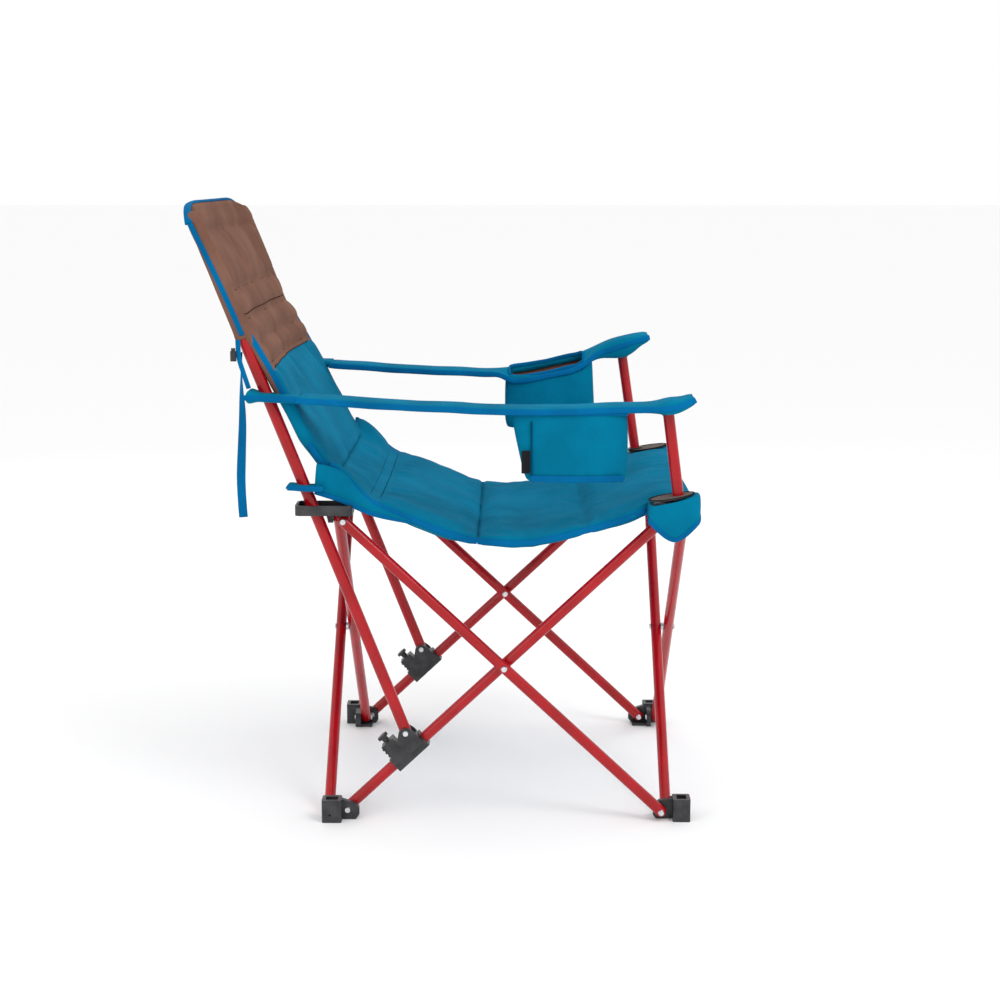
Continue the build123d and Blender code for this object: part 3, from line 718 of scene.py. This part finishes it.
# The cloth at the rear corners, from the seat up to the wings.
low_edge = spline([(290, 303, 547), (291, 260, 533), (289, 210, 511), (287, 150, 498)], 6)
high_edge = spline([(284, 300, 592), (285, 260, 580), (285, 210, 532), (286, 150, 501)], 6)
for sign, side_name in SIDES:
    rings = []
    for (x0, y0, z0), (x1, y1, z1) in zip(low_edge, high_edge):
        outer, inner = [], []
        for k in range(9):
            share = k / 8
            bulge = 4 * math.sin(math.pi * share) + 1.2 * ripple(y0, z0, 30 * share, 12, sign)
            x, y, z = x0 + (x1 - x0) * share + bulge, y0 + (y1 - y0) * share, z0 + (z1 - z0) * share
            outer.append(at(sign * x, y, z))
            inner.append(at(sign * (x - 3), y, z))
        rings.append(outer + inner[::-1])
    gusset = finished(loft(f"seat_gusset_{side_name}", rings))
    attach(gusset, "seat_rear", ACROSS)
    hem = [(sign * (x + 0.5), y, z) for x, y, z in low_edge[::6]]
    binding = tape(f"seat_gusset_binding_{side_name}", hem, 8, 4, UPRIGHT)
    attach(binding, "seat_rear", ACROSS)


# ---------------------------------------------------------------- arms
ARM_REAR = ((166, 685), (328, 696))
RIGHT_ARM = ((-302, 696), (-283, 688), (-262, 684), (-225, 682), (-100, 678), (10, 679), *ARM_REAR)
LEFT_ARM = ((-268, 748), (-245, 742), (-218, 732), (-160, 714), (-90, 696), (10, 681), *ARM_REAR)
ARM_HALF = 35
# The middle of the drink pocket's mouth, which is cut through the left arm.
MOUTH_Y = -77


def right_thick(x, y, z, side):
    return (7 + 5.5 * near(y + 264, 22) + 0.8 * ripple(x, y, z, 45)) * (1 - 0.35 * (x / ARM_HALF) ** 4)


def left_thick(x, y, z, side):
    under = 8 * near(y + 222, 30) if side < 0 else 0
    strip = 1 - 0.45 * smooth(-5, -22, x) * smooth(-175, -140, y) * smooth(15, -15, y)
    full = 7 + 8.5 * near(y + 208, 42) + under + 0.8 * ripple(x, y, z, 45, 7)
    return full * (1 - 0.35 * (x / ARM_HALF) ** 4) * strip


def right_lift(x, y, z):
    return 0, 0, 1.6 * ripple(0, y, z, 70, 4)


def left_lift(x, y, z):
    """The strip on the inner side of the drink pocket's mouth hangs lower than the arm."""
    drop = 17 * smooth(8, -22, x) * smooth(-178, -132, y) * smooth(20, -24, y)
    return 0, 0, 1.6 * ripple(0, y, z, 70, 4) - drop


def arm_half(y, z):
    return ARM_HALF - 9 * smooth(-275, -302, y)


for side_name, x_middle, line, thick, lift, flat in (
    ("right", -CORNER, RIGHT_ARM, right_thick, right_lift, ALONG_RIGHT),
    ("left", CORNER, LEFT_ARM, left_thick, left_lift, ALONG_LEFT),
):
    arm = pad(f"arm_pad_{side_name}", line, arm_half, thick, lift, step=8, x_middle=x_middle, edge=7)
    arm = finished(arm)
    if side_name == "left":
        mouth = [(25 * blunt(math.cos(a), 0.3), 68 * blunt(math.sin(a), 0.3)) for a in circle(32)]
        rings = [[at(CORNER + x, MOUTH_Y + y, z) for x, y in mouth] for z in (620, 780)]
        cutter = loft("window", rings, ends="face", materials=(BROWN,))
        cut = arm.modifiers.new("window", "BOOLEAN")
        cut.object = cutter
        cut.operation = "DIFFERENCE"
        settle(arm)
        bpy.data.objects.remove(cutter)
    body = f"hub_front_{side_name}"
    attach(arm, body, flat, (f"arm_{side_name}",))
    track = profile(line, 8.0)
    for out, edge_name in ((-1, "inner"), (1, "outer")):
        edge = []
        for y, z, *_ in track[::3] + [track[-1]]:
            x = x_middle + out * (arm_half(y, z) - 0.5)
            edge.append((x, y, z + lift(out * ARM_HALF, y, z)[2]))
        rim = tape(f"arm_binding_{edge_name}_{side_name}", edge, 10, 4, UPRIGHT, per_run=4)
        attach(rim, body, flat)


left_profile = profile(LEFT_ARM, 8.0)


def left_height(y):
    """How high the left arm's middle line is there."""
    return min(left_profile, key=lambda p: abs(p[0] - y))[1]


mouth = []
for a in circle(24):
    x, y = 26 * blunt(math.cos(a), 0.4), MOUTH_Y + 69 * blunt(math.sin(a), 0.4)
    mouth.append((CORNER + x, y, left_height(y) + 6 + left_lift(x, y, 0)[2]))
rim = tape("cooler_mouth_binding", mouth, 8, 4, UPRIGHT, closed=True, per_run=3)
attach(rim, "hub_front_left", ALONG_LEFT)

TAB_LINE = ((322, 695.5), (380, 699), (408, 701))
for sign, side_name in SIDES:
    tab = pad(
        f"arm_tab_cloth_{side_name}",
        TAB_LINE,
        lambda y, z: 24.5,
        lambda x, y, z, side: 6.5 + 0.8 * ripple(x, y, z, 30, sign) + 5 * smooth(385, 405, y),
        still,
        step=6,
        x_middle=sign * 288,
        edge=7,
    )
    attach(finished(tab), f"back_{side_name}", stands_for=(f"arm_tab_{side_name}",))
    seat_tab = pad(
        f"seat_tab_cloth_{side_name}",
        ((286, 554), (315, 553), (347, 556)),
        lambda y, z: 22,
        lambda x, y, z, side: 4 + 0.5 * ripple(x, y, z, 30, sign),
        still,
        step=6,
        x_middle=sign * 286,
        edge=5,
    )
    finished(seat_tab)
    attach(seat_tab, f"hub_rear_{side_name}", stands_for=(f"seat_tab_{side_name}",))
    for name, y0, y1, z, wide, x_tab, body in (
        ("arm_tab", 324, 410, 699, 24.5, 288, f"back_{side_name}"),
        ("seat_tab", 288, 345, 555, 22, 286, f"hub_rear_{side_name}"),
    ):
        x = x_tab + wide
        edge = [(sign * x, y0, z - 1), (sign * x, (y0 + y1) / 2, z), (sign * (x - 2), y1, z + 1)]
        rim = tape(f"{name}_binding_{side_name}", edge, 9, 3.5, UPRIGHT)
        attach(rim, body)


tie = [(-289, 420, 790), (-291, 418, 760), (-291, 411, 735), (-289, 404, 712)]
attach(tape("tie_strap", tie, 8, 2, (0, 1, 0.3)), "back_right")


# ---------------------------------------------------------------- pockets
RING_POINTS = 48


def pocket(name, sections, wall, x_middle, outside, lining, rise=None):
    """A cloth pocket open at its top. sections are (z, half x, low y, high y) from its floor to its rim."""

    def ring(z, half_x, low_y, high_y, shrink=0.0):
        points = []
        for a in circle(RING_POINTS):
            x = (half_x - shrink) * blunt(math.cos(a), 0.38)
            y = (low_y + high_y) / 2 + ((high_y - low_y) / 2 - shrink) * blunt(math.sin(a), 0.38)
            crumple = 1.6 * ripple(x, y, z, 38, 11)
            up = rise(x, y) * smooth(rim[0] - 40, rim[0], z) if rise else 0
            points.append(at(x_middle + x + crumple * 0.7, y + crumple, z + up))
        return points

    def floor_ring(share, z, shrink=0.0):
        low_y, high_y = middle + (a0 - middle) * share, middle + (b0 - middle) * share
        return ring(z, h0 * share, low_y, high_y, shrink)

    rim = sections[-1]
    z0, h0, a0, b0 = sections[0]
    middle = (a0 + b0) / 2
    rings = [floor_ring(share, z0 - 3 * (1 - share)) for share in (0.1, 0.6, 0.93)]
    rings += [ring(*section) for section in sections]
    rings.append(ring(rim[0] + wall * 0.6, *rim[1:], shrink=wall / 2))
    rings += [ring(z, h, a, b, shrink=wall) for z, h, a, b in sections[::-1]]
    rings += [floor_ring(share, z0 + wall, wall * share) for share in (0.93, 0.6, 0.1)]
    fold = 3 + len(sections)  # the rings below this one are outside, the others inside
    piece = loft(name, rings, ends="face", materials=(outside, lining))
    for index, polygon in enumerate(piece.data.polygons):
        polygon.material_index = 1 if index >= fold * RING_POINTS else 0
    piece.data.polygons[-2].material_index = 0  # the middle of the floor, seen from below
    return finished(piece)


cooler_sections = [(579, 34, -160, -4), (584, 34.5, -164, -1), (600, 34.5, -166, 1), (625, 34, -166, 1)]
cooler_sections += [(650, 33.5, -165, 0), (668, 33, -164, -1), (676, 32, -162, -3)]
cooler = pocket(
    "cooler_pocket_cloth",
    cooler_sections,
    3.0,
    CORNER,
    BLUE,
    BROWN,
    rise=lambda x, y: max(0.0, left_height(y) + left_lift(x, y, 0)[2] - 682),
)
attach(cooler, "hub_front_left", ALONG_LEFT, ("cooler_pocket",))
SIDE_POCKET_X = -285.3
side_sections = [(567, 24, -192, -36), (571, 25, -195, -33), (590, 25.5, -196, -28)]
side_sections += [(620, 25.5, -196, -21), (650, 25, -196, -15), (677, 24.5, -195, -12)]
side_pocket = pocket("side_pocket_cloth", side_sections, 2.4, SIDE_POCKET_X, BLUE, DARK)
attach(side_pocket, "hub_front_right", ALONG_RIGHT, ("side_pocket",))

seam = [(-311.6, -43, 664), (-312, -43, 620), (-311.6, -43, 572)]
seam = tape("side_pocket_seam", seam, 3, 1.2, LENGTHWISE, material=THREAD)
attach(seam, "hub_front_right", ALONG_RIGHT)
label = [(-312.4, -34, 617), (-312.6, -34, 598), (-312.4, -34, 580)]
label = tape("side_pocket_label", label, 14, 1.2, LENGTHWISE, material=DARK)
attach(label, "hub_front_right", ALONG_RIGHT)
band = [(-311.4, -190, 572), (-312.4, -120, 571), (-311.4, -40, 572)]
band = tape("side_pocket_band", band, 11, 2, UPRIGHT)
attach(band, "hub_front_right", ALONG_RIGHT)
hem = [(x, y, 676) for x, y in ((-310.2, -194), (-310.6, -105), (-310.2, -15), (-285, -12.5))]
hem += [(x, y, 676) for x, y in ((-260.4, -15), (-260, -105), (-260.4, -194), (-285, -197))]
hem = tape("side_pocket_hem", hem, 8, 3, UPRIGHT, closed=True)
attach(hem, "hub_front_right", ALONG_RIGHT)


# ---------------------------------------------------------------- seat corners
# (x, y, height of the top, height of the hem) round the left corner. The right one is its mirror image.
CUP = [(309, -230, 525, 500), (311, -270, 532, 470), (305, -306, 540, 494), (280, -314, 541, 503)]
CUP += [(250, -308, 539, 508), (247, -268, 532, 512), (250, -235, 527, 516)]
CUP_X, CUP_Y, CUP_STEPS = 279, -272, 4
PATCH_X, PATCH_Y = 278.3, -268
PATCH_HALF_X, PATCH_HALF_Y = 27, 36
outline = spline([*CUP, CUP[0]], 7)[:-1]
for sign, side_name in SIDES:

    def ring(share, level, drop=0.0):
        points = []
        for x, y, high, low in outline:
            z = high + drop if level == "top" else low + drop
            points.append(at(sign * (CUP_X + (x - CUP_X) * share), CUP_Y + (y - CUP_Y) * share, z))
        return points

    top_rings = ((0.12, -3), (0.5, -2), (0.86, 1), (0.96, 2), (1.0, -1))
    rings = [ring(share, "top", drop) for share, drop in top_rings]
    for i in range(1, CUP_STEPS):
        points = []
        for x, y, high, low in outline:
            share = i / CUP_STEPS
            puff = 1 + 0.015 * math.sin(math.pi * share) + 0.01 * ripple(x, y, share * 40, 20, sign)
            x, y = CUP_X + (x - CUP_X) * puff, CUP_Y + (y - CUP_Y) * puff
            points.append(at(sign * x, y, high + (low - high) * share))
        rings.append(points)
    under_rings = ((1.0, 0), (0.95, 1), (0.93, 8), (0.5, 12), (0.12, 12))
    rings += [ring(share, "skirt", drop) for share, drop in under_rings]
    cup = finished(loft(f"seat_corner_cloth_{side_name}", rings, ends="face"))
    body = f"hub_front_{side_name}"
    attach(cup, body, stands_for=(f"seat_corner_front_{side_name}",))
    hem = [(sign * x, y, low + 3) for x, y, high, low in CUP]
    attach(tape(f"seat_corner_hem_{side_name}", hem, 8, 3, UPRIGHT, closed=True), body)
    patch_rings = []
    for share, raised in ((0.15, 2.6), (0.6, 2.8), (0.93, 2.8), (1.0, 1.2), (0.9, -1.5), (0.15, -1.5)):
        points = []
        for a in circle(36):
            x, y = PATCH_HALF_X * math.cos(a) * share, PATCH_HALF_Y * math.sin(a) * share
            points.append(at(sign * (PATCH_X + x), PATCH_Y + y, 536 - 0.16 * y + raised))
        patch_rings.append(points)
    patch = finished(loft(f"seat_corner_patch_{side_name}", patch_rings, ends="face", materials=(PATCH,)))
    attach(patch, body)
    border = []
    for a in circle(16):
        x, y = PATCH_X + PATCH_HALF_X * math.cos(a), PATCH_Y + PATCH_HALF_Y * math.sin(a)
        border.append((sign * x, y, 538.5 - 5.8 * math.sin(a)))
    border = tape(
        f"seat_corner_ring_{side_name}",
        border,
        3,
        1.6,
        lambda x, y, z: (x - sign * PATCH_X, y - PATCH_Y, 0),
        closed=True,
        material=DARK,
        per_run=3,
    )
    attach(border, body)


# ---------------------------------------------------------------- floor and light
edges = [[Vector((-60, y, 0)), Vector((60, y, 0))] for y in (-60, 60)]
floor = loft("floor", edges, loop=False, ends=None)
paper = shader("pale_floor", (0.96, 0.96, 0.96), 0.95)[0]
floor.data.materials.clear()
floor.data.materials.append(paper)

world = bpy.data.worlds.new("studio")
bpy.context.scene.world = world
world.use_nodes = True
sky = world.node_tree.nodes["Background"]
sky.inputs["Color"].default_value = (1, 1, 1, 1)
sky.inputs["Strength"].default_value = 1.0
for name, place, size, power in (
    ("key", (-1.8, -1.6, 2.6), 1.2, 26),
    ("fill", (-2.4, 2.2, 1.8), 1.4, 9),
    ("back", (2.4, 0.4, 2.4), 1.4, 12),
):
    light = bpy.data.lights.new(name, "AREA")
    light.size = size
    light.energy = power
    lamp = linked(name, light)
    lamp.location = place
    lamp.rotation_euler = (Vector((0, 0, 0.5)) - Vector(place)).to_track_quat("-Z", "Y").to_euler()
bpy.context.scene.view_settings.view_transform = "Standard"
